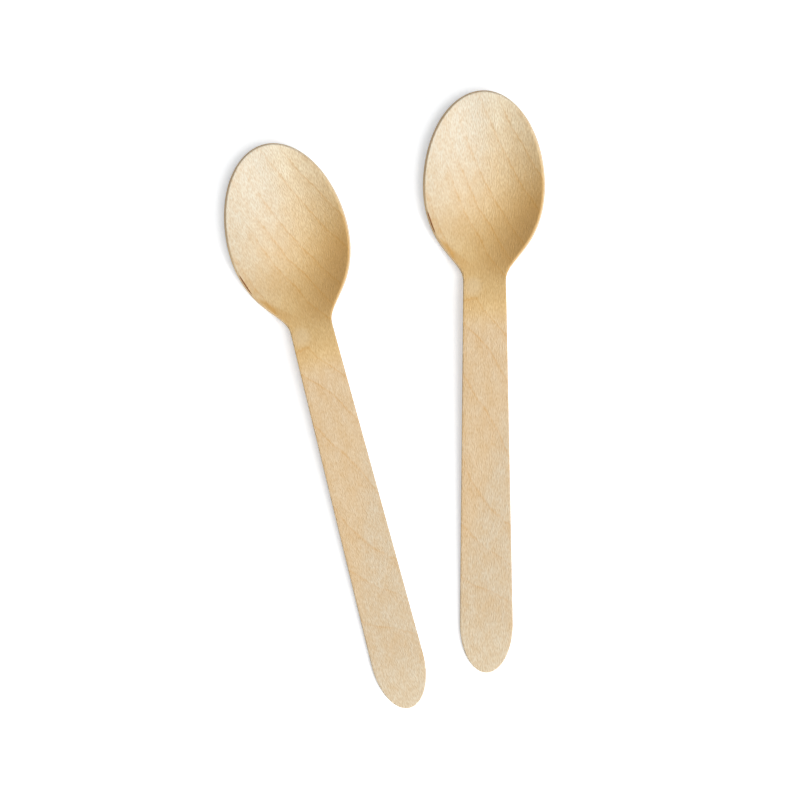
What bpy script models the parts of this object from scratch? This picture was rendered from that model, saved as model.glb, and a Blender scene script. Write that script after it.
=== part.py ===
"""Two disposable birch spoons, the pieces of a loose wooden cutlery pack, lying side by side on a table.

Each spoon is one piece of rotary-cut veneer: a flat blank is stamped out and its bowl is pressed into it.
A spoon's own frame has its origin at the end of the handle, +Y towards the tip of the bowl, +X across and
+Z up. "Station" means the distance from the tip of the bowl, measured along the spoon.
"""

from math import atan, cos, hypot, pi, radians, sin, sqrt

import bmesh
import bpy
import numpy as np
from mathutils import Euler, Vector

MM = 0.001

# Outline of the sheet's middle
SPOON_LENGTH = 160.0 * MM
BOWL_WIDTH = 33.1 * MM
BOWL_WIDEST = 26.5 * MM  # station of the widest place, and length of the half ellipse of the tip
BOWL_TAPER = 22.6 * MM  # half length of the ellipse that draws the bowl in towards the neck
FLANK_SLOPE = 0.80  # fall of the half width for each unit of length, where the bowl runs into the neck
NECK_WIDTH = 11.7 * MM
NECK_FILLET = 3.5 * MM
HANDLE_END_WIDTH = 14.6 * MM
END_ROUND = 13.5 * MM  # length of the half ellipse that ends the handle

# Section of the sheet
VENEER = 1.4 * MM
EDGE_ROUND = 0.3 * MM
MOST_ROUND = 0.4  # of the veneer's thickness that a corner's rounding may take

# Pressed form, of the sheet's middle
BOWL_DEPTH = 6.3 * MM  # at the widest place, from the rim down to the bottom
BOWL_BOTTOM = 28.5 * MM  # station of the lowest place
TIP_RISE = 6.2 * MM  # from the bottom up to the tip
HANDLE_RISE = 8.4 * MM  # from the bottom up to the flat handle
SHOULDER = 14.5 * MM  # from the neck to where the handle is flat
TROUGH_BEFORE = 7.0 * MM  # the hollow across the bowl starts to fade this far before the neck
TROUGH_AFTER = 12.0 * MM  # and is gone this far after it

# Layout on the table, seen from above with the bowls away from the viewer
RIGHT_TURN = radians(0.35)
LEFT_TURN = radians(14.5)
HANDLE_GAP = 6.5 * MM  # between the ends of the two handles
END_STAGGER = 9.7 * MM  # by which the left handle ends nearer to the viewer

# Mesh
TIP_ROWS = 11
BOWL_ROWS = 12
SHOULDER_ROWS = 9
HANDLE_ROWS = 6
END_ROWS = 7
HALF_COLUMNS = 8
CORNER_ANGLE = pi / 4  # where the last bent row of a rounded end meets its sides
BEVEL_SEGMENTS = 2
SEAM = 0.01 * MM

# Looks
BIRCH = (0.745, 0.571, 0.366, 1.0)
BIRCH_ROUGHNESS = 0.55


def clear_scene():
    for obj in list(bpy.data.objects):
        bpy.data.objects.remove(obj, do_unlink=True)


def smooth(t):
    """0 to 1 with no slope at either end."""
    t = min(max(t, 0.0), 1.0)
    return t * t * (3.0 - 2.0 * t)


HALF_BOWL = BOWL_WIDTH / 2
# The flank is the straight line that leaves the bowl's ellipse where that has come to FLANK_SLOPE
FLANK_RUN = FLANK_SLOPE * BOWL_TAPER**2 / hypot(HALF_BOWL, FLANK_SLOPE * BOWL_TAPER)
FLANK_START = BOWL_WIDEST + FLANK_RUN
FLANK_WIDTH = HALF_BOWL * sqrt(1.0 - (FLANK_RUN / BOWL_TAPER) ** 2)
NECK = FLANK_START + (FLANK_WIDTH - NECK_WIDTH / 2) / FLANK_SLOPE
END_START = SPOON_LENGTH - END_ROUND
HANDLE_TAPER = (HANDLE_END_WIDTH - NECK_WIDTH) / 2 / (END_START - NECK)
# The fillet's centre lies one radius outside the flank and outside the handle's side
FLANK_STEP = NECK_FILLET * hypot(1.0, FLANK_SLOPE)
SIDE_STEP = NECK_FILLET * hypot(1.0, HANDLE_TAPER)
FILLET_CENTRE = NECK + (FLANK_STEP - SIDE_STEP) / (FLANK_SLOPE + HANDLE_TAPER)
FILLET_START = FILLET_CENTRE - NECK_FILLET * sin(atan(FLANK_SLOPE))
FILLET_END = FILLET_CENTRE + NECK_FILLET * sin(atan(HANDLE_TAPER))
FLAT_START = NECK + max(SHOULDER, TROUGH_AFTER)


def handle_side(station):
    return NECK_WIDTH / 2 + HANDLE_TAPER * (station - NECK)


def half_width(station):
    """Half the blank's width between the widest place of the bowl and the start of the rounded end."""
    if station < FLANK_START:
        return HALF_BOWL * sqrt(1.0 - ((station - BOWL_WIDEST) / BOWL_TAPER) ** 2)
    if station < FILLET_START:
        return FLANK_WIDTH - FLANK_SLOPE * (station - FLANK_START)
    if station < FILLET_END:
        away = station - FILLET_CENTRE
        return handle_side(FILLET_CENTRE) + SIDE_STEP - sqrt(NECK_FILLET**2 - away**2)
    return handle_side(station)


def bent_row(v, t, tip, widest, half):
    """A point of a row near a rounded end. Row t = 0 lies along the end's rim and row t = 1 straight across.

    v runs from the middle to the side. tip and widest are the stations of the end's tip and of its widest
    place, where it is 2 * half wide. Between the two, the row's bend fades evenly.
    """
    reach = widest - tip

    def rim(angle):
        return Vector((half * sin(angle), widest - reach * cos(angle)))

    side = rim(CORNER_ANGLE + (pi / 2 - CORNER_ANGLE) * t)
    middle = Vector((0.0, tip + reach * t))
    bend = rim(CORNER_ANGLE * v) - rim(0.0).lerp(rim(CORNER_ANGLE), v)
    return middle.lerp(side, v) + bend * (1.0 - t)


def stations(start, end, rows):
    """Evenly spaced stations from start to end, without the first."""
    return [start + (end - start) * (i + 1) / rows for i in range(rows)]


STRAIGHT_ROWS = (
    stations(BOWL_WIDEST, FILLET_START, BOWL_ROWS)
    + stations(FILLET_START, FLAT_START, SHOULDER_ROWS)
    + stations(FLAT_START, END_START, HANDLE_ROWS)
)


def blank_point(row, v):
    """(across, station) of a point of the flat blank, for the row's number and v from the middle to the side."""
    if row <= TIP_ROWS:
        return bent_row(v, row / TIP_ROWS, 0.0, BOWL_WIDEST, HALF_BOWL)
    row -= TIP_ROWS + 1
    if row < len(STRAIGHT_ROWS):
        station = STRAIGHT_ROWS[row]
        return Vector((v * half_width(station), station))
    left = len(STRAIGHT_ROWS) + END_ROWS - 1 - row
    return bent_row(v, left / END_ROWS, SPOON_LENGTH, END_START, HANDLE_END_WIDTH / 2)


def centre_height(station):
    """Height of the middle line over the flat handle. Its curvature has no step at the bottom of the bowl."""
    if station < BOWL_BOTTOM:
        return TIP_RISE * (1.0 - station / BOWL_BOTTOM) ** 2 - HANDLE_RISE
    length = FLAT_START - BOWL_BOTTOM
    t = min((station - BOWL_BOTTOM) / length, 1.0)
    square = TIP_RISE / HANDLE_RISE * (length / BOWL_BOTTOM) ** 2
    cubic, fourth, fifth = 10.0 - 3.0 * square, 3.0 * square - 15.0, 6.0 - square
    return HANDLE_RISE * (t**2 * (square + cubic * t + fourth * t**2 + fifth * t**3) - 1.0)


def height(across, station):
    """Height of the sheet's middle over the flat handle."""
    fade = (station - NECK + TROUGH_BEFORE) / (TROUGH_BEFORE + TROUGH_AFTER)
    hollow = BOWL_DEPTH * (1.0 - smooth(fade))
    return centre_height(station) + hollow * (across / HALF_BOWL) ** 2


def half_sheet():
    """One half of the pressed sheet as an open surface, from the middle line to the rim."""
    rows = TIP_ROWS + len(STRAIGHT_ROWS) + END_ROWS
    made = bmesh.new()
    bmesh.ops.create_grid(made, x_segments=HALF_COLUMNS, y_segments=rows, size=0.5)
    for vert in made.verts:
        across, station = blank_point(round((vert.co.y + 0.5) * rows), vert.co.x + 0.5)
        vert.co = (across, SPOON_LENGTH - station, height(across, station))
    bmesh.ops.recalc_face_normals(made, faces=made.faces)
    mesh = bpy.data.meshes.new("half_sheet")
    made.to_mesh(mesh)
    made.free()
    return mesh


def spoon_mesh():
    """The whole spoon: both halves, the veneer's thickness and the softened edges of the cut."""
    sheet = bpy.data.objects.new("sheet", half_sheet())
    bpy.context.scene.collection.objects.link(sheet)
    mirror = sheet.modifiers.new("Both halves", "MIRROR")
    mirror.use_clip = True
    mirror.merge_threshold = SEAM
    thickness = sheet.modifiers.new("Veneer", "SOLIDIFY")
    thickness.thickness = VENEER
    thickness.offset = 0.0
    thickness.use_even_offset = True
    edge = sheet.modifiers.new("Cut edge", "BEVEL")
    edge.width = min(EDGE_ROUND, MOST_ROUND * VENEER)
    edge.segments = BEVEL_SEGMENTS
    edge.limit_method = "ANGLE"
    edge.angle_limit = radians(60.0)
    graph = bpy.context.evaluated_depsgraph_get()
    mesh = bpy.data.meshes.new_from_object(sheet.evaluated_get(graph))
    bpy.data.objects.remove(sheet, do_unlink=True)
    mesh.name = "spoon"
    mesh.shade_smooth()
    mesh.set_sharp_from_angle(angle=radians(35.0))
    return mesh


def points_of(mesh):
    points = np.empty(len(mesh.vertices) * 3)
    mesh.vertices.foreach_get("co", points)
    return points.reshape(-1, 3)


def rest_tilt(points):
    """The turn about X at which the bottom of the bowl and the end of the handle touch the table together."""
    bowl = points[points[:, 1] > SPOON_LENGTH - NECK]
    handle = points[points[:, 1] < SPOON_LENGTH - FLAT_START]
    tilt = 0.0
    for _ in range(12):
        low_bowl, low_handle = (
            min((y * sin(tilt) + z * cos(tilt), y * cos(tilt) - z * sin(tilt)) for _, y, z in part)
            for part in (bowl, handle)
        )
        tilt += (low_handle[0] - low_bowl[0]) / (low_bowl[1] - low_handle[1])
    return tilt


def birch_veneer():
    """Bare rotary-cut birch: pale, dry and slightly silky."""
    material = bpy.data.materials.new("birch_veneer")
    material.use_nodes = True
    shader = material.node_tree.nodes["Principled BSDF"]
    shader.inputs["Base Color"].default_value = BIRCH
    shader.inputs["Roughness"].default_value = BIRCH_ROUGHNESS
    shader.inputs["Metallic"].default_value = 0.0
    material.diffuse_color = BIRCH
    return material


def lay_spoon(name, mesh, turn, end, collection):
    """Lays a spoon on the table, turned about the end of its handle, which is at end."""
    spoon = bpy.data.objects.new(name, mesh)
    collection.objects.link(spoon)
    points = points_of(mesh)
    tilt = rest_tilt(points)
    lowest = min(points[:, 1] * sin(tilt) + points[:, 2] * cos(tilt))
    spoon.location = (end[0], end[1], -lowest)
    spoon.rotation_euler = Euler((tilt, 0.0, turn))
    return spoon


def centre_on_origin(spoons, collection):
    """Hangs the spoons on an empty that brings the middle of their common footprint to the origin."""
    bpy.context.view_layer.update()
    placed = [points_of(s.data) @ np.array(s.matrix_world)[:2, :3].T for s in spoons]
    placed = np.concatenate([p + np.array(s.location)[:2] for p, s in zip(placed, spoons)])
    middle = (placed.min(0) + placed.max(0)) / 2
    pack = bpy.data.objects.new("cutlery_pack", None)
    collection.objects.link(pack)
    pack.location = (-middle[0], -middle[1], 0.0)
    for spoon in spoons:
        spoon.parent = pack


def main():
    clear_scene()
    collection = bpy.data.collections.new("wooden_cutlery_pack")
    bpy.context.scene.collection.children.link(collection)
    mesh = spoon_mesh()
    mesh.materials.append(birch_veneer())
    left_end = (-(HANDLE_END_WIDTH + HANDLE_GAP), -END_STAGGER)
    spoons = [
        lay_spoon("left_spoon", mesh, LEFT_TURN, left_end, collection),
        lay_spoon("right_spoon", mesh, RIGHT_TURN, (0.0, 0.0), collection),
    ]
    centre_on_origin(spoons, collection)


main()
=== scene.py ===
"""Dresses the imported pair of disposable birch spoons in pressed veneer, with a table, lamps and a camera.

A spoon is made as the real one is. A flat blank of veneer is stamped out and then pressed over a die.
Every point keeps its place in the flat blank as an attribute, so the wood's grain follows the sheet into
the bowl. Three lengths in mm name a place in the blank: "across" is to the right of the middle line,
"station" is along it from the tip of the bowl, and "depth" is up from the middle of the sheet. "Inset" is
the distance from the cut edge.
"""

from math import atan, copysign, cos, hypot, pi, radians, sin, sqrt

import bmesh
import bpy
from mathutils import Euler, Matrix, Vector, noise
from mathutils.kdtree import KDTree


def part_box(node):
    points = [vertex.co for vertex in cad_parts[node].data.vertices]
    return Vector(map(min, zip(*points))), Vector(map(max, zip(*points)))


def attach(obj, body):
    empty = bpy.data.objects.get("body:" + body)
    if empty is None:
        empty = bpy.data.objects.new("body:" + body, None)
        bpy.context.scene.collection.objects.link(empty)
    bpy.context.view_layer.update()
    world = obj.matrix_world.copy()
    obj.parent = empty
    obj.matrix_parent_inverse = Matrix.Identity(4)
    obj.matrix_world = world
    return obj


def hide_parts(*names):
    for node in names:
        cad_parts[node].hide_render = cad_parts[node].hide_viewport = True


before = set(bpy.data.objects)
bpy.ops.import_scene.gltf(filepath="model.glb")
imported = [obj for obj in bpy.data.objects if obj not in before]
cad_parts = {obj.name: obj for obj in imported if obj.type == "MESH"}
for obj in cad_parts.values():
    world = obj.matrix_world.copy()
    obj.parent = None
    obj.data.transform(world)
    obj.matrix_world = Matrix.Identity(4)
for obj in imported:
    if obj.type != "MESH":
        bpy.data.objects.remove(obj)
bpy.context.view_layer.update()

MM = 0.001

# Outline of the blank, in mm, the same as the frame's
SPOON_LENGTH = 160.0
BOWL_WIDTH = 33.1
BOWL_WIDEST = 26.5
BOWL_TAPER = 22.6
FLANK_SLOPE = 0.80
NECK_WIDTH = 11.7
NECK_FILLET = 3.5
HANDLE_END_WIDTH = 14.6
END_ROUND = 13.5

# Section of the sheet, in mm
VENEER = 1.4
EDGE_ROUND = 0.3

# Pressed form, in mm, the same as the frame's
BOWL_DEPTH = 6.3
BOWL_BOTTOM = 28.5
TIP_RISE = 6.2
HANDLE_RISE = 8.4
SHOULDER = 14.5
TROUGH_BEFORE = 7.0
TROUGH_AFTER = 12.0

# Turns of the two spoons on the table
LEFT_TURN = radians(14.5)
RIGHT_TURN = radians(0.35)

# Mesh of the blank
TIP_ROWS = 12
BOWL_ROWS = 8
SHOULDER_ROWS = 8
HANDLE_ROWS = 34
END_ROWS = 7
COLUMNS = 14
CORNER_ANGLE = pi / 4
EDGE_ANGLE = radians(60.0)
EDGE_SEGMENTS = 2
SUBDIVISIONS = 2
RELAX_ROUNDS = 100
RELAX_FACTOR = 0.5
OUTLINE_STEP = 0.04
SLOPE_STEP = 0.01
TILT_ROUNDS = 8

# Unevenness of pressed veneer, in mm
WAVE_HEIGHT = 0.05
WAVE_LENGTH = 11.0

# What the eye sees of the wood, as sRGB. Ivory and amber also paint light and shade in the bowl, and the
# cut edge has lit and shaded copies
CREAM_BIRCH = "e3d5bc"
IVORY_BIRCH = "f7e6c6"
HONEY_BIRCH = "e6c184"
AMBER_BIRCH = "d8ad6c"
PLAIN_BIRCH = "e2c499"
PALE_BIRCH = "dec6a2"
# Lit and shaded copies of the cut edge's colour: cream is painted light, gold and dull are painted shade
CUT_LIT_CREAM = "f7e2c2"
CUT_SHADED_GOLD = "fbd9a6"
CUT_SHADED_DULL = "dfbd8e"
RING_TAN = "cf9538"
FIBRE_TAN = "c0924a"
SPLIT_BROWN = "8a4f08"

# Surface of dry, bare wood
ROUGHNESS = 0.5
IOR = 1.5

# Where one tone turns into the next, as (start, end) in mm. A lean brings a change nearer to the tip with
# each mm to the right. The amber wall's lean brings it nearer to the left with each mm along the bowl.
# Ivory to the right is painted light, the amber wall on the right is painted shade, and honey is partly
# painted shade towards the neck.
LIT_IVORY_ACROSS = (-2.5, 6.5)
HONEY_LEAN = 0.9
HONEY_STATIONS = (1.7, 46.5)
SHADED_WALL_LEAN = 0.53
SHADED_WALL_ACROSS = (19.1, 33.1)
SHADED_WALL_BELOW_TIP = (20.0, 32.0)
SHADED_WALL_ABOVE_NECK = (54.0, 46.0)
PALE_LEAN = 3.5
PALE_STATIONS = (98.0, 118.0)
LAST_STATIONS = (143.0, 158.0)
LAST_SHARE = 0.25
PAST_NECK = (58.0, 67.0)

# Sizes of the wood's fibres and clouds and of its rings' jags, in mm across, along and through the sheet.
# Real fibres are too fine to show in a picture of whole spoons, so they are drawn as bundles, as coarse and
# as deep as they need to be seen.
FIBRE = (0.24, 0.9, 0.4)
FIBRE_LEAN = radians(5.0)
FIBRE_SEED = 5.0
FIBRE_DETAIL = 0.0
CLOUD = (2.6, 4.5, 3.0)
CLOUD_SEED = 7.0
JAG = (0.6, 2.4, 2.0)
JAG_SEED = 1.0
NOISE_SCALE = 1.0
NOISE_DETAIL = 2.0
NOISE_MEAN = 0.5
BUMP_SHARE = 1.0
BUMP_DEPTH = 0.12 * MM

# How the fibres and clouds tint the wood, as (start, end, share at start, share at end)
FLECKS = (0.25, 0.75, 0.26, -0.26)
CLOUDS = (0.3, 0.7, -1.0, 1.0)
CLOUDY_STATIONS = (20.0, 62.0, 0.14, 0.22)

# Golden wood beside the left rim: its share by inset, and where it begins and ends, in mm
RIM_GOLD = (0.3, 1.8, 0.2, 0.0)
RIM_GOLD_FROM = (16.0, 34.0)
RIM_GOLD_TO = (128.0, 114.0)
RIM_GOLD_LEFT = (1.0, -3.0)

# Small marks, as (place in the blank in mm, size in mm, strength, colour), each at its full strength over
# the core's share of its size. The dark one is in the wood; the ivory one at the left of the neck is a
# painted highlight.
MARKS = (
    ((-7.2, 151.0, 0.6), 0.6, 0.7, SPLIT_BROWN),
    # A painted highlight on the left of the neck, where that side faces the lamps
    ((-3.3, 53.8, 0.7), 3.6, 0.24, IVORY_BIRCH),
)
MARK_CORE = 0.3

# Growth rings: the stations at which they cross the middle line, and how far along the spoon they run for
# each mm across it, as (station, slope). They also run along it through the sheet, and they sway. Close to
# a ring's line, the count of rings grows by its own share for each mm.
RING_STATIONS = (-38, -22, -9.5, 4, 24, 34.5, 43, 60, 69.5, 87.5, 112.5, 125.5, 137, 170)
RING_SLOPES = ((0, 2.8), (12, 2.3), (36, 1.8), (66, 1.1), (76, 1.6), (100, 2.0), (112, 1.2), (136, 0.5))
RING_THROUGH = 2.5
RING_SWAY = 1.2
RING_SWAY_LENGTH = 7.0
RING_PER_MM = 0.1

# An arch in the rings at the left of the neck: left of its crest they drop away along the spoon
ARCH_CREST = -2.2
ARCH_STATION = 55.0
ARCH_LENGTH = 20.0
ARCH_DROP = 1.7

# The late wood of a ring, by the fraction of the ring count: a line at each whole number, then a haze
LATE_ONSET = (0.965, 0.99)
LATE_LINE = (0.05, 0.01)
LATE_LINE_SHARE = 0.4
LATE_HAZE = (0.4, 0.0)
LATE_HAZE_SHARE = 0.12
LATE_JAG = 0.11

# Where the ring lines are faint, as (start, end, share at start, share at end): in thin clouds, towards the
# end of the handle, and at the left of the tip, with a lean, where fading them is a painted highlight
FAINT_CLOUDS = (0.35, 0.6, 0.55, 1.0)
FAINT_HANDLE = (60.0, 134.0, 1.0, 0.62)
FAINT_HIGHLIGHT_LEAN = 2.0
FAINT_HIGHLIGHT = (0.0, 24.0, 0.35, 1.0)

# A slight fold at the lower left of the bowl. The distance beyond its straight crest, in mm, is the station
# and the place across, each times its own share, less the crest's place.
FOLD_ALONG = 0.775
FOLD_ACROSS = -0.634
FOLD_CREST = 38.8
FOLD_TINT = (0.2, 1.0, -0.3, 0.5)
FOLD_SIDE = (-6.0, -0.5)
FOLD_FROM = (36.0, 42.0)
FOLD_TO = (50.0, 46.0)
FOLD_LEFT = (-2.0, -4.0)

# A split in the left rim, narrow as a lens, in mm. It is only drawn, as a dark line of painted shade
SPLIT_STATION = 36.0
SPLIT_HALF_LENGTH = 3.4
SPLIT_INSET = 0.1
SPLIT_HALF_WIDTH = 0.2
SPLIT_CORE = 0.12
SPLIT_ACROSS = -5.0
SPLIT_DEPTH = 0.3

# The cut edge has lit and shaded copies of its colour: painted shade, dull around the tip and golden on the
# left, and painted light, pale on the right. Where its colours change, how much lower it begins on the
# right, and how far it shows, in mm
CUT_LEAN = 1.2
CUT_PAST_TIP = (2.0, 10.0)
CUT_RIGHTWARDS = (-3.0, 3.0)
CUT_LOWERED = 0.3
CUT_DEPTHS = (0.65, 0.35)
CUT_INSETS = (0.05, 0.2)
CUT_SHARE = 0.85

# View and light. The lens and the sensor are in mm, and other lengths in metres.
VIEW_WIDTH = 220.5 * MM
VIEW_CENTRE = (4.2 * MM, 0.05 * MM)
LENS = 200.0
SENSOR = 36.0
KEY_AZIMUTH = radians(-45.0)
KEY_ELEVATION = radians(37.5)
KEY_STRENGTH = 1.75
TOP_AZIMUTH = radians(-20.0)
TOP_ELEVATION = radians(76.5)
TOP_STRENGTH = 1.32
SUN_SPREAD = radians(20.0)
SKY_STRENGTH = 0.14
TABLE_SIZE = 4.0
TABLE_ALBEDO = 0.8
TABLE_SEEN_ALBEDO = 0.98

# The table's glow lightens the shadow. It is a little blue, against the warm light that the wood throws.
TABLE_GLOW = 0.48
TABLE_GLOW_COLOUR = (0.93, 0.96, 1.0, 1.0)
WHITE = (1.0, 1.0, 1.0, 1.0)


# Outline

HALF_BOWL = BOWL_WIDTH / 2
FLANK_RUN = FLANK_SLOPE * BOWL_TAPER**2 / hypot(HALF_BOWL, FLANK_SLOPE * BOWL_TAPER)
FLANK_START = BOWL_WIDEST + FLANK_RUN
FLANK_WIDTH = HALF_BOWL * sqrt(1.0 - (FLANK_RUN / BOWL_TAPER) ** 2)
NECK = FLANK_START + (FLANK_WIDTH - NECK_WIDTH / 2) / FLANK_SLOPE
END_START = SPOON_LENGTH - END_ROUND
HANDLE_TAPER = (HANDLE_END_WIDTH - NECK_WIDTH) / 2 / (END_START - NECK)
FLANK_STEP = NECK_FILLET * hypot(1.0, FLANK_SLOPE)
SIDE_STEP = NECK_FILLET * hypot(1.0, HANDLE_TAPER)
FILLET_CENTRE = NECK + (FLANK_STEP - SIDE_STEP) / (FLANK_SLOPE + HANDLE_TAPER)
FILLET_START = FILLET_CENTRE - NECK_FILLET * sin(atan(FLANK_SLOPE))
FILLET_END = FILLET_CENTRE + NECK_FILLET * sin(atan(HANDLE_TAPER))
FLAT_START = NECK + SHOULDER


def handle_side(station):
    """Half the width of the straight handle, without the fillet at the neck."""
    return NECK_WIDTH / 2 + HANDLE_TAPER * (station - NECK)


def half_width(station):
    """Half the blank's width between the widest place of the bowl and the rounded end of the handle."""
    if station < FLANK_START:
        return HALF_BOWL * sqrt(1.0 - ((station - BOWL_WIDEST) / BOWL_TAPER) ** 2)
    if station < FILLET_START:
        return FLANK_WIDTH - FLANK_SLOPE * (station - FLANK_START)
    if station < FILLET_END:
        away = station - FILLET_CENTRE
        return handle_side(FILLET_CENTRE) + SIDE_STEP - sqrt(NECK_FILLET**2 - away**2)
    return handle_side(station)


def end_rim(angle, tip, widest, half):
    """A point on a rounded end, at an angle of 0 at its tip and of pi / 2 at its widest place."""
    return Vector((half * sin(angle), widest + (tip - widest) * cos(angle)))


def bent_row(v, t, tip, widest, half):
    """A point of a row near a rounded end, which lies on the rim at t = 0 and straight across at t = 1."""
    side = end_rim(CORNER_ANGLE + (pi / 2 - CORNER_ANGLE) * t, tip, widest, half)
    middle = Vector((0.0, tip + (widest - tip) * t))
    top, corner = end_rim(0.0, tip, widest, half), end_rim(CORNER_ANGLE, tip, widest, half)
    bend = end_rim(CORNER_ANGLE * v, tip, widest, half) - top.lerp(corner, v)
    return middle.lerp(side, v) + bend * (1.0 - t)


def stations(start, end, rows):
    """Evenly spaced stations from start to end, without the first."""
    return [start + (end - start) * (i + 1) / rows for i in range(rows)]


STRAIGHT_ROWS = (
    stations(BOWL_WIDEST, FILLET_START, BOWL_ROWS)
    + stations(FILLET_START, FLAT_START, SHOULDER_ROWS)
    + stations(FLAT_START, END_START, HANDLE_ROWS)
)
ROWS = TIP_ROWS + len(STRAIGHT_ROWS) + END_ROWS


def blank_point(row, v):
    """(across, station) in the blank for a row's number and v from 0 in the middle to 1 at the side."""
    if row <= TIP_ROWS:
        return bent_row(v, row / TIP_ROWS, 0.0, BOWL_WIDEST, HALF_BOWL)
    if row <= TIP_ROWS + len(STRAIGHT_ROWS):
        station = STRAIGHT_ROWS[row - TIP_ROWS - 1]
        return Vector((v * half_width(station), station))
    return bent_row(v, (ROWS - row) / END_ROWS, SPOON_LENGTH, END_START, HANDLE_END_WIDTH / 2)


def outline():
    """Points close together along one side of the blank, from the bowl's tip to the handle's end."""
    turns = int(HALF_BOWL * pi / 2 / OUTLINE_STEP)
    steps = int((END_START - BOWL_WIDEST) / OUTLINE_STEP)
    for i in range(turns):
        yield end_rim(pi / 2 * i / turns, 0.0, BOWL_WIDEST, HALF_BOWL)
        yield end_rim(pi / 2 * i / turns, SPOON_LENGTH, END_START, HANDLE_END_WIDTH / 2)
    for i in range(steps + 1):
        station = BOWL_WIDEST + (END_START - BOWL_WIDEST) * i / steps
        yield Vector((half_width(station), station))


# Pressed form


def smooth(t):
    """Rises softly from 0 where t is 0 to 1 where t is 1."""
    t = min(max(t, 0.0), 1.0)
    return t * t * (3.0 - 2.0 * t)


def centre_height(station):
    """Height of the middle line over the flat handle.

    It is a parabola from the tip to the bottom of the bowl. From there a curve of the fifth degree begins
    with the same curvature and runs out flat where the handle is flat.
    """
    if station < BOWL_BOTTOM:
        return TIP_RISE * (1.0 - station / BOWL_BOTTOM) ** 2 - HANDLE_RISE
    length = FLAT_START - BOWL_BOTTOM
    t = min((station - BOWL_BOTTOM) / length, 1.0)
    square = TIP_RISE / HANDLE_RISE * (length / BOWL_BOTTOM) ** 2
    cubic, fourth, fifth = 10.0 - 3.0 * square, 3.0 * square - 15.0, 6.0 - square
    return HANDLE_RISE * (t**2 * (square + cubic * t + fourth * t**2 + fifth * t**3) - 1.0)


def height(across, station):
    """Height of the sheet's middle over the flat handle."""
    fade = (station - NECK + TROUGH_BEFORE) / (TROUGH_BEFORE + TROUGH_AFTER)
    hollow = BOWL_DEPTH * (1.0 - smooth(fade))
    wave = WAVE_HEIGHT * noise.noise(Vector((across, station, 0.0)) / WAVE_LENGTH)
    return centre_height(station) + hollow * (across / HALF_BOWL) ** 2 + wave


def pressed(across, station, depth):
    """Where the die moves a point of the blank, in the spoon's own frame, in mm."""
    middle = height(across, station)
    slope_across = (height(across + SLOPE_STEP, station) - middle) / SLOPE_STEP
    slope_along = (height(across, station + SLOPE_STEP) - middle) / SLOPE_STEP
    normal = Vector((-slope_across, slope_along, 1.0)).normalized()
    return Vector((across, SPOON_LENGTH - station, middle)) + depth * normal


def flat_grid():
    """The blank's plan as a flat grid, x across and -y along it, in mm."""
    grid = bmesh.new()
    half = 0.5
    bmesh.ops.create_grid(grid, x_segments=COLUMNS, y_segments=ROWS, size=half)
    for vert in grid.verts:
        row = round((half - vert.co.y) * ROWS)
        side = vert.co.x / half
        across, station = blank_point(row, abs(side))
        vert.co = (copysign(across, side), -station, 0.0)
    inner = [v for v in grid.verts if not v.is_boundary]
    ends = [v for v in inner if not BOWL_WIDEST < -v.co.y < END_START]
    for _ in range(RELAX_ROUNDS):
        bmesh.ops.smooth_vert(grid, verts=ends, factor=RELAX_FACTOR, use_axis_x=True, use_axis_y=True)
    mesh = bpy.data.meshes.new("flat_grid")
    grid.to_mesh(mesh)
    grid.free()
    return mesh


def stamped_blank():
    """The blank as it is stamped out: a flat slab with softened edges, in mm."""
    sheet = bpy.data.objects.new("sheet", flat_grid())
    bpy.context.scene.collection.objects.link(sheet)
    thickness = sheet.modifiers.new("Veneer", "SOLIDIFY")
    thickness.thickness = VENEER
    thickness.offset = 0.0
    edge = sheet.modifiers.new("Cut edge", "BEVEL")
    edge.width = EDGE_ROUND
    edge.segments = EDGE_SEGMENTS
    edge.angle_limit = EDGE_ANGLE
    finer = sheet.modifiers.new("Finer", "SUBSURF")
    finer.levels = finer.render_levels = SUBDIVISIONS
    graph = bpy.context.evaluated_depsgraph_get()
    mesh = bpy.data.meshes.new_from_object(sheet.evaluated_get(graph))
    bpy.data.objects.remove(sheet, do_unlink=True)
    return mesh


def along_line(points, place):
    """How high the line drawn from point to point is at a place."""
    for (start, low), (end, high) in zip(points, points[1:]):
        if place < end:
            return low + (high - low) * (place - start) / (end - start)
    return points[-1][1]


def ring_number(across, station, depth):
    """The count of rings from the tip. It is a whole number on each ring's slanting line."""
    slope = along_line(RING_SLOPES, station)
    sway = RING_SWAY * noise.noise(Vector((across, station, depth)) / RING_SWAY_LENGTH)
    arch = smooth(1.0 - 2.0 * abs(station - ARCH_STATION) / ARCH_LENGTH)
    arch *= ARCH_DROP * max(ARCH_CREST - across, 0.0)
    crossing = station - slope * across + RING_THROUGH * (depth - VENEER / 2) + sway - arch
    near = hypot(1.0, slope)
    count = []
    for i, middle in enumerate(RING_STATIONS):
        count += [(middle + side * near, i + side * RING_PER_MM) for side in (-1, 1)]
    return along_line(count, crossing)


def pressed_blank():
    """The blank pressed to shape. Each point keeps its place in the blank, its inset and its ring count."""
    mesh = stamped_blank()
    rim = list(outline())
    tree = KDTree(len(rim))
    for i, point in enumerate(rim):
        tree.insert((point.x, point.y, 0.0), i)
    tree.balance()
    for name, kind in (("blank", "FLOAT_VECTOR"), ("inset", "FLOAT"), ("ring", "FLOAT")):
        mesh.attributes.new(name, kind, "POINT")
    place, inset, ring = (mesh.attributes[name] for name in ("blank", "inset", "ring"))
    for i, vert in enumerate(mesh.vertices):
        across, station, depth = vert.co.x, -vert.co.y, vert.co.z
        place.data[i].vector = (across, station, depth)
        inset.data[i].value = tree.find((abs(across), station, 0.0))[2]
        ring.data[i].value = ring_number(across, station, depth)
        vert.co = pressed(across, station, depth)
    return mesh


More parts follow.
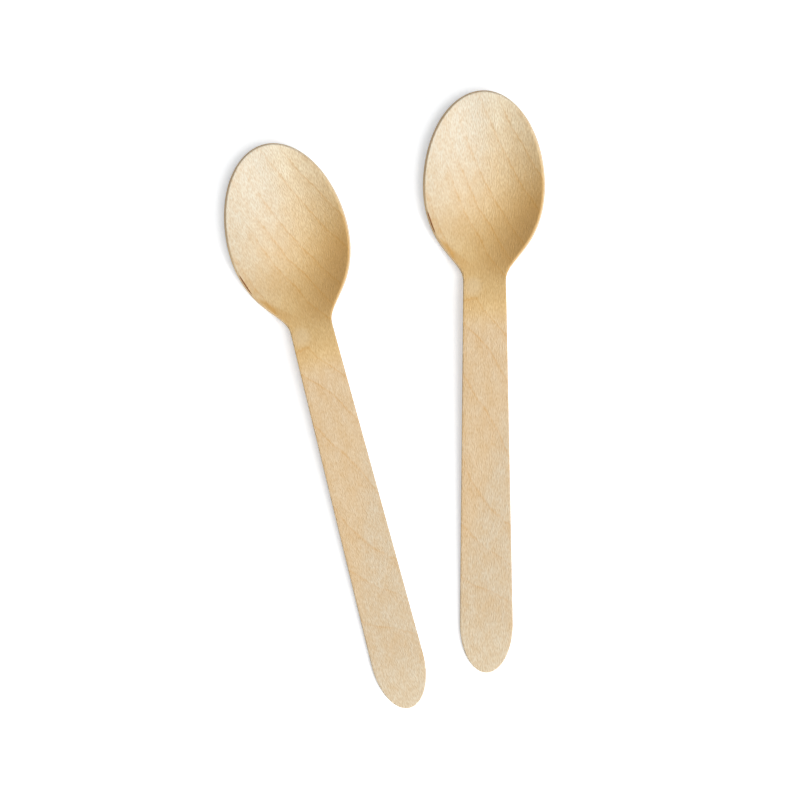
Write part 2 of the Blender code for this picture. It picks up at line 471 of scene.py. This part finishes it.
def rest_tilt(points):
    """The turn about X at which the bottom of the bowl and the end of the handle both touch the table."""
    bowl = [p for p in points if p.y > SPOON_LENGTH - NECK]
    handle = [p for p in points if p.y < SPOON_LENGTH - FLAT_START]
    tilt = 0.0
    for _ in range(TILT_ROUNDS):
        # The lowest point of each, as (height, place along the spoon)
        low_bowl, low_handle = (
            min((p.y * sin(tilt) + p.z * cos(tilt), p.y * cos(tilt) - p.z * sin(tilt)) for p in part)
            for part in (bowl, handle)
        )
        tilt += (low_handle[0] - low_bowl[0]) / (low_bowl[1] - low_handle[1])
    return tilt


def box_foot(low, high):
    """The middle of a box's underside."""
    return Vector(((low[0] + high[0]) / 2, (low[1] + high[1]) / 2, low[2]))


def lay_spoon(name, node, turn, blank, wood):
    """Makes a spoon from the pressed blank and lays it where the frame's spoon lies."""
    mesh = blank.copy()
    mesh.name = name
    tilt = rest_tilt([vert.co for vert in mesh.vertices])
    mesh.transform(Euler((tilt, 0.0, turn)).to_matrix().to_4x4() @ Matrix.Scale(MM, 4))
    corners = [Vector(vert.co) for vert in mesh.vertices]
    low = [min(c[i] for c in corners) for i in range(3)]
    high = [max(c[i] for c in corners) for i in range(3)]
    mesh.transform(Matrix.Translation(box_foot(*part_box(node)) - box_foot(low, high)))
    mesh.shade_smooth()
    mesh.materials.append(wood)
    spoon = bpy.data.objects.new(name, mesh)
    bpy.context.scene.collection.objects.link(spoon)
    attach(spoon, "root")
    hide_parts(node)
    return spoon


# Materials


def linear(srgb):
    """An sRGB hex colour as the linear one that the shaders take."""
    parts = [int(srgb[i : i + 2], 16) / 255.0 for i in (0, 2, 4)]
    return (*(c / 12.92 if c <= 0.04045 else ((c + 0.055) / 1.055) ** 2.4 for c in parts), 1.0)


def add(tree, kind, *inputs, **settings):
    """Adds a shader node with its settings. Each input in turn is linked to a node or socket, or set."""
    made = tree.nodes.new("ShaderNode" + kind)
    for name, value in settings.items():
        setattr(made, name, value)
    for socket, value in zip([s for s in made.inputs if s.enabled], inputs):
        if isinstance(value, bpy.types.Node):
            value = next(s for s in value.outputs if s.enabled)
        if isinstance(value, bpy.types.NodeSocket):
            tree.links.new(value, socket)
        elif value is not None:
            socket.default_value = value
    return made


def within(tree, share, *windows):
    """Keeps a share inside soft windows, each given as what is measured and its (start, end)."""
    for measured, (start, end) in windows:
        there = add(tree, "MapRange", measured, start, end, interpolation_type="SMOOTHSTEP")
        share = add(tree, "Math", share, there, operation="MULTIPLY")
    return share


def bare_tone(tree, across, station):
    """The wood's tone without its lines: cream in the bowl, ivory to its right as painted light, honey
    towards the neck where the die toasted it, deepened with painted shade, an amber right wall of painted
    shade, plain on the handle.
    """
    # Ivory to the right of the bowl is painted light, on the side that the lamps leave in shade
    rightwards = add(tree, "MapRange", across, *LIT_IVORY_ACROSS, interpolation_type="SMOOTHSTEP")
    tone = add(tree, "Mix", rightwards, linear(CREAM_BIRCH), linear(IVORY_BIRCH), data_type="RGBA")
    # Honey towards the neck and the right: wood toasted by the die, and partly painted shade
    slant = add(tree, "Math", across, HONEY_LEAN, station, operation="MULTIPLY_ADD")
    browned_and_shaded = add(tree, "MapRange", slant, *HONEY_STATIONS, interpolation_type="SMOOTHSTEP")
    tone = add(tree, "Mix", browned_and_shaded, tone, linear(HONEY_BIRCH), data_type="RGBA")
    # Amber on the right wall of the bowl: painted shade
    slant = add(tree, "Math", station, SHADED_WALL_LEAN, across, operation="MULTIPLY_ADD")
    wall = add(tree, "MapRange", slant, *SHADED_WALL_ACROSS, interpolation_type="SMOOTHSTEP")
    wall = within(tree, wall, (station, SHADED_WALL_BELOW_TIP), (station, SHADED_WALL_ABOVE_NECK))
    tone = add(tree, "Mix", wall, tone, linear(AMBER_BIRCH), data_type="RGBA")
    slant = add(tree, "Math", across, PALE_LEAN, station, operation="MULTIPLY_ADD")
    endwards = add(tree, "MapRange", slant, *PALE_STATIONS, interpolation_type="SMOOTHSTEP")
    handle = add(tree, "Mix", endwards, linear(PLAIN_BIRCH), linear(PALE_BIRCH), data_type="RGBA")
    last = add(tree, "MapRange", station, *LAST_STATIONS, 0.0, LAST_SHARE, interpolation_type="SMOOTHSTEP")
    handle = add(tree, "Mix", last, handle, linear(IVORY_BIRCH), data_type="RGBA")
    past_neck = add(tree, "MapRange", station, *PAST_NECK, interpolation_type="SMOOTHSTEP")
    return add(tree, "Mix", past_neck, tone, handle, data_type="RGBA")


def late_wood(tree, place):
    """The late wood that ends each growth ring: a fine jagged line with a faint haze towards the handle."""
    ring = add(tree, "Attribute", attribute_name="ring").outputs["Fac"]
    jagged = add(tree, "Mapping", place, None, None, [1.0 / size for size in JAG])
    jagged = add(tree, "TexNoise", jagged, JAG_SEED, NOISE_SCALE, NOISE_DETAIL, noise_dimensions="4D")
    jagged = add(tree, "Math", jagged, NOISE_MEAN, operation="SUBTRACT")
    count = add(tree, "Math", jagged, LATE_JAG, ring, operation="MULTIPLY_ADD")
    season = add(tree, "Math", count, operation="FRACT")
    late = 0.0
    for span, share in (
        (LATE_LINE, LATE_LINE_SHARE),
        (LATE_ONSET, LATE_LINE_SHARE),
        (LATE_HAZE, LATE_HAZE_SHARE),
    ):
        shade = add(tree, "MapRange", season, *span, 0.0, share, interpolation_type="SMOOTHSTEP")
        late = add(tree, "Math", late, shade, operation="MAXIMUM")
    return late


def ring_shade(tree, place, clouds, across, station):
    """The late wood, fainter in thin clouds, towards the end of the handle, and at the left of the tip as
    painted highlight.
    """
    broken = add(tree, "MapRange", clouds, *FAINT_CLOUDS)
    fading = add(tree, "MapRange", station, *FAINT_HANDLE)
    slant = add(tree, "Math", across, FAINT_HIGHLIGHT_LEAN, station, operation="MULTIPLY_ADD")
    # The lines fade at the left of the tip, where that fading is a painted highlight
    painted_highlight = add(tree, "MapRange", slant, *FAINT_HIGHLIGHT)
    shade = late_wood(tree, place)
    for faint in (broken, fading, painted_highlight):
        shade = add(tree, "Math", shade, faint, operation="MULTIPLY")
    return shade


def left_fold(tree, across, station):
    """A slight fold across the lower left of the bowl: pale along its crest, golden beyond it."""
    fold = add(tree, "Math", station, FOLD_ALONG, -FOLD_CREST, operation="MULTIPLY_ADD")
    fold = add(tree, "Math", across, FOLD_ACROSS, fold, operation="MULTIPLY_ADD")
    tint = add(tree, "MapRange", fold, *FOLD_TINT, interpolation_type="SMOOTHSTEP")
    return within(
        tree, tint, (fold, FOLD_SIDE), (station, FOLD_FROM), (station, FOLD_TO), (across, FOLD_LEFT)
    )


def golden_share(tree, clouds, across, station, inset):
    """Golden wood: in soft clouds, calmer in the bowl, and at the fold and the hot-pressed left rim."""
    golden = add(tree, "MapRange", clouds, *CLOUDS)
    cloudy = add(tree, "MapRange", station, *CLOUDY_STATIONS)
    golden = add(tree, "Math", golden, cloudy, operation="MULTIPLY")
    rim = add(tree, "MapRange", inset, *RIM_GOLD, interpolation_type="SMOOTHSTEP")
    rim = within(tree, rim, (station, RIM_GOLD_FROM), (station, RIM_GOLD_TO), (across, RIM_GOLD_LEFT))
    golden = add(tree, "Math", golden, rim, operation="ADD")
    return add(tree, "Math", golden, left_fold(tree, across, station), operation="ADD")


def left_split_shade(tree, across, station, depth, inset):
    """The painted shade of a short split at the top of the left rim, widest in its middle."""
    beside = add(tree, "Math", inset, SPLIT_INSET, operation="SUBTRACT")
    beside = add(tree, "Math", beside, operation="ABSOLUTE")
    along = add(tree, "Math", station, SPLIT_STATION, operation="SUBTRACT")
    along = add(tree, "Math", along, SPLIT_HALF_LENGTH, operation="DIVIDE")
    along = add(tree, "Math", along, along, operation="MULTIPLY")
    lens = add(tree, "Math", along, SPLIT_HALF_WIDTH, beside, operation="MULTIPLY_ADD")
    split = add(tree, "MapRange", lens, SPLIT_HALF_WIDTH, SPLIT_CORE, interpolation_type="SMOOTHSTEP")
    leftwards = add(tree, "Math", across, SPLIT_ACROSS, operation="LESS_THAN")
    upper = add(tree, "Math", depth, SPLIT_DEPTH, operation="GREATER_THAN")
    split = add(tree, "Math", split, leftwards, operation="MULTIPLY")
    return add(tree, "Math", split, upper, operation="MULTIPLY")


def cut_edge(tree, across, station, depth, inset, colour):
    """Colours the cut edge with lit and shaded copies: painted shade, dull around the tip and golden on the
    left, and painted light, pale and lower down on the right.
    """
    slant = add(tree, "Math", across, CUT_LEAN, station, operation="MULTIPLY_ADD")
    past_tip = add(tree, "MapRange", slant, *CUT_PAST_TIP)
    torn_lit_and_shaded = add(tree, "Mix", past_tip, linear(CUT_SHADED_DULL), linear(CUT_SHADED_GOLD), data_type="RGBA")
    rightwards = add(tree, "MapRange", across, *CUT_RIGHTWARDS)
    pale = add(tree, "Math", rightwards, past_tip, operation="MULTIPLY")
    torn_lit_and_shaded = add(tree, "Mix", pale, torn_lit_and_shaded, linear(CUT_LIT_CREAM), data_type="RGBA")
    lowered = add(tree, "Math", rightwards, CUT_LOWERED, depth, operation="MULTIPLY_ADD")
    torn = add(tree, "MapRange", lowered, *CUT_DEPTHS, interpolation_type="SMOOTHSTEP")
    edge = add(tree, "MapRange", inset, *CUT_INSETS, CUT_SHARE, 0.0, interpolation_type="SMOOTHSTEP")
    cut = add(tree, "Math", edge, torn, operation="MULTIPLY")
    return add(tree, "Mix", cut, colour, torn_lit_and_shaded, data_type="RGBA")


def small_marks(tree, place, colour):
    """Colours the small round marks: a dark one in the wood and an ivory painted highlight at the neck."""
    for centre, size, share, tint in MARKS:
        away = add(tree, "VectorMath", place, centre, operation="DISTANCE")
        core = MARK_CORE * size
        mark = add(tree, "MapRange", away, size, core, 0.0, share, interpolation_type="SMOOTHSTEP")
        colour = add(tree, "Mix", mark, colour, linear(tint), data_type="RGBA")
    return colour


def birch_veneer():
    """Bare birch veneer, rotary cut, stamped and hot pressed.

    The eye gets dry pale wood with a faint silk: fine upright fibres, tan lines where the knife crossed the
    growth rings, honey tones where the die was hottest, deepened with painted shade towards the neck,
    painted light on the bowl's right and painted shade on its right wall, a cut edge painted pale where lit
    and golden or dull where shaded, a split's painted shade and a painted highlight at the neck.
    """
    material = bpy.data.materials.new("birch_veneer")
    material.use_nodes = True
    tree = material.node_tree
    tree.nodes.clear()
    place = add(tree, "Attribute", attribute_name="blank").outputs["Vector"]
    inset = add(tree, "Attribute", attribute_name="inset").outputs["Fac"]
    across, station, depth = add(tree, "SeparateXYZ", place).outputs

    # The bare tone carries painted light on the bowl's right, and painted shade on its right wall and
    # towards the neck
    colour = bare_tone(tree, across, station)
    clouds = add(tree, "Mapping", place, None, None, [1.0 / size for size in CLOUD])
    clouds = add(tree, "TexNoise", clouds, CLOUD_SEED, NOISE_SCALE, NOISE_DETAIL, noise_dimensions="4D")
    golden = golden_share(tree, clouds, across, station, inset)
    colour = add(tree, "Mix", golden, colour, linear(AMBER_BIRCH), data_type="RGBA", clamp_factor=False)
    rings = ring_shade(tree, place, clouds, across, station)
    colour = add(tree, "Mix", rings, colour, linear(RING_TAN), data_type="RGBA")

    # Fine fibres, upright in the sheet, that are darker and lighter than the wood around them
    upright = add(tree, "Mapping", place, None, (0.0, 0.0, FIBRE_LEAN))
    fibres = add(tree, "Mapping", upright, None, None, [1.0 / size for size in FIBRE])
    fibres = add(tree, "TexNoise", fibres, FIBRE_SEED, NOISE_SCALE, FIBRE_DETAIL, noise_dimensions="4D")
    flecks = add(tree, "MapRange", fibres, *FLECKS)
    colour = add(tree, "Mix", flecks, colour, linear(FIBRE_TAN), data_type="RGBA", clamp_factor=False)

    # The cut edge, painted pale where it is lit and golden or dull where it is shaded
    colour = cut_edge(tree, across, station, depth, inset, colour)
    # The split's painted shade, in dark brown
    split = left_split_shade(tree, across, station, depth, inset)
    colour = add(tree, "Mix", split, colour, linear(SPLIT_BROWN), data_type="RGBA")
    colour = small_marks(tree, place, colour)

    bump = add(tree, "Bump", BUMP_SHARE, BUMP_DEPTH, None, fibres)
    shader = add(tree, "BsdfPrincipled", colour, None, None, None, None, bump)
    shader.inputs["Roughness"].default_value = ROUGHNESS
    shader.inputs["IOR"].default_value = IOR
    add(tree, "OutputMaterial", shader)
    return material


def seen_directly(tree):
    """1 for rays from the camera and for what gloss or clear parts show, and 0 for all others."""
    path = add(tree, "LightPath").outputs
    seen = add(tree, "Math", path["Is Camera Ray"], path["Is Glossy Ray"], operation="MAXIMUM")
    return add(tree, "Math", seen, path["Is Transmission Ray"], operation="MAXIMUM")


def table_white():
    """Matt white laminate: it keeps the shadow beside the spoons, and the camera sees the rest as white."""
    material = bpy.data.materials.new("matt_white_laminate")
    material.use_nodes = True
    tree = material.node_tree
    tree.nodes.clear()
    seen = seen_directly(tree)
    white = [(shade, shade, shade, 1.0) for shade in (TABLE_ALBEDO, TABLE_SEEN_ALBEDO)]
    paint = add(tree, "Mix", seen, *white, data_type="RGBA")
    strength = add(tree, "Math", seen, TABLE_GLOW, operation="MULTIPLY")
    glow = add(tree, "Emission", TABLE_GLOW_COLOUR, strength)
    add(tree, "OutputMaterial", add(tree, "AddShader", add(tree, "BsdfDiffuse", paint), glow))
    return material


def lay_table():
    """A plain table that reaches far beyond the view."""
    bpy.ops.mesh.primitive_plane_add(size=TABLE_SIZE)
    table = bpy.context.object
    table.name = "table"
    table.data.materials.append(table_white())


def shine(name, azimuth, elevation, strength):
    """A soft lamp far away."""
    sun = bpy.data.lights.new(name, "SUN")
    sun.energy = strength
    sun.angle = SUN_SPREAD
    lamp = bpy.data.objects.new(name, sun)
    bpy.context.scene.collection.objects.link(lamp)
    lamp.rotation_euler = Euler((0.0, pi / 2 - elevation, azimuth))


def light_scene():
    """A low key from the lower right models the bowls, a high lamp shortens the shadow, a sky fills in."""
    shine("key", KEY_AZIMUTH, KEY_ELEVATION, KEY_STRENGTH)
    shine("top", TOP_AZIMUTH, TOP_ELEVATION, TOP_STRENGTH)
    world = bpy.data.worlds.new("sky")
    bpy.context.scene.world = world
    world.use_nodes = True
    tree = world.node_tree
    tree.nodes.clear()
    strength = add(tree, "Mix", seen_directly(tree), SKY_STRENGTH, 1.0)
    add(tree, "OutputWorld", add(tree, "Background", WHITE, strength))


def place_camera():
    """Looks straight down from far away, as the photograph does."""
    camera = bpy.data.cameras.new("camera")
    camera.lens = LENS
    camera.sensor_width = SENSOR
    eye = bpy.data.objects.new("camera", camera)
    bpy.context.scene.collection.objects.link(eye)
    eye.location = (*VIEW_CENTRE, VIEW_WIDTH * LENS / SENSOR)
    bpy.context.scene.camera = eye


def main():
    bpy.context.scene.view_settings.view_transform = "Standard"
    place_camera()
    light_scene()
    lay_table()
    blank = pressed_blank()
    wood = birch_veneer()
    lay_spoon("left_pressed_spoon", "left_spoon", LEFT_TURN, blank, wood)
    lay_spoon("right_pressed_spoon", "right_spoon", RIGHT_TURN, blank, wood)


main()
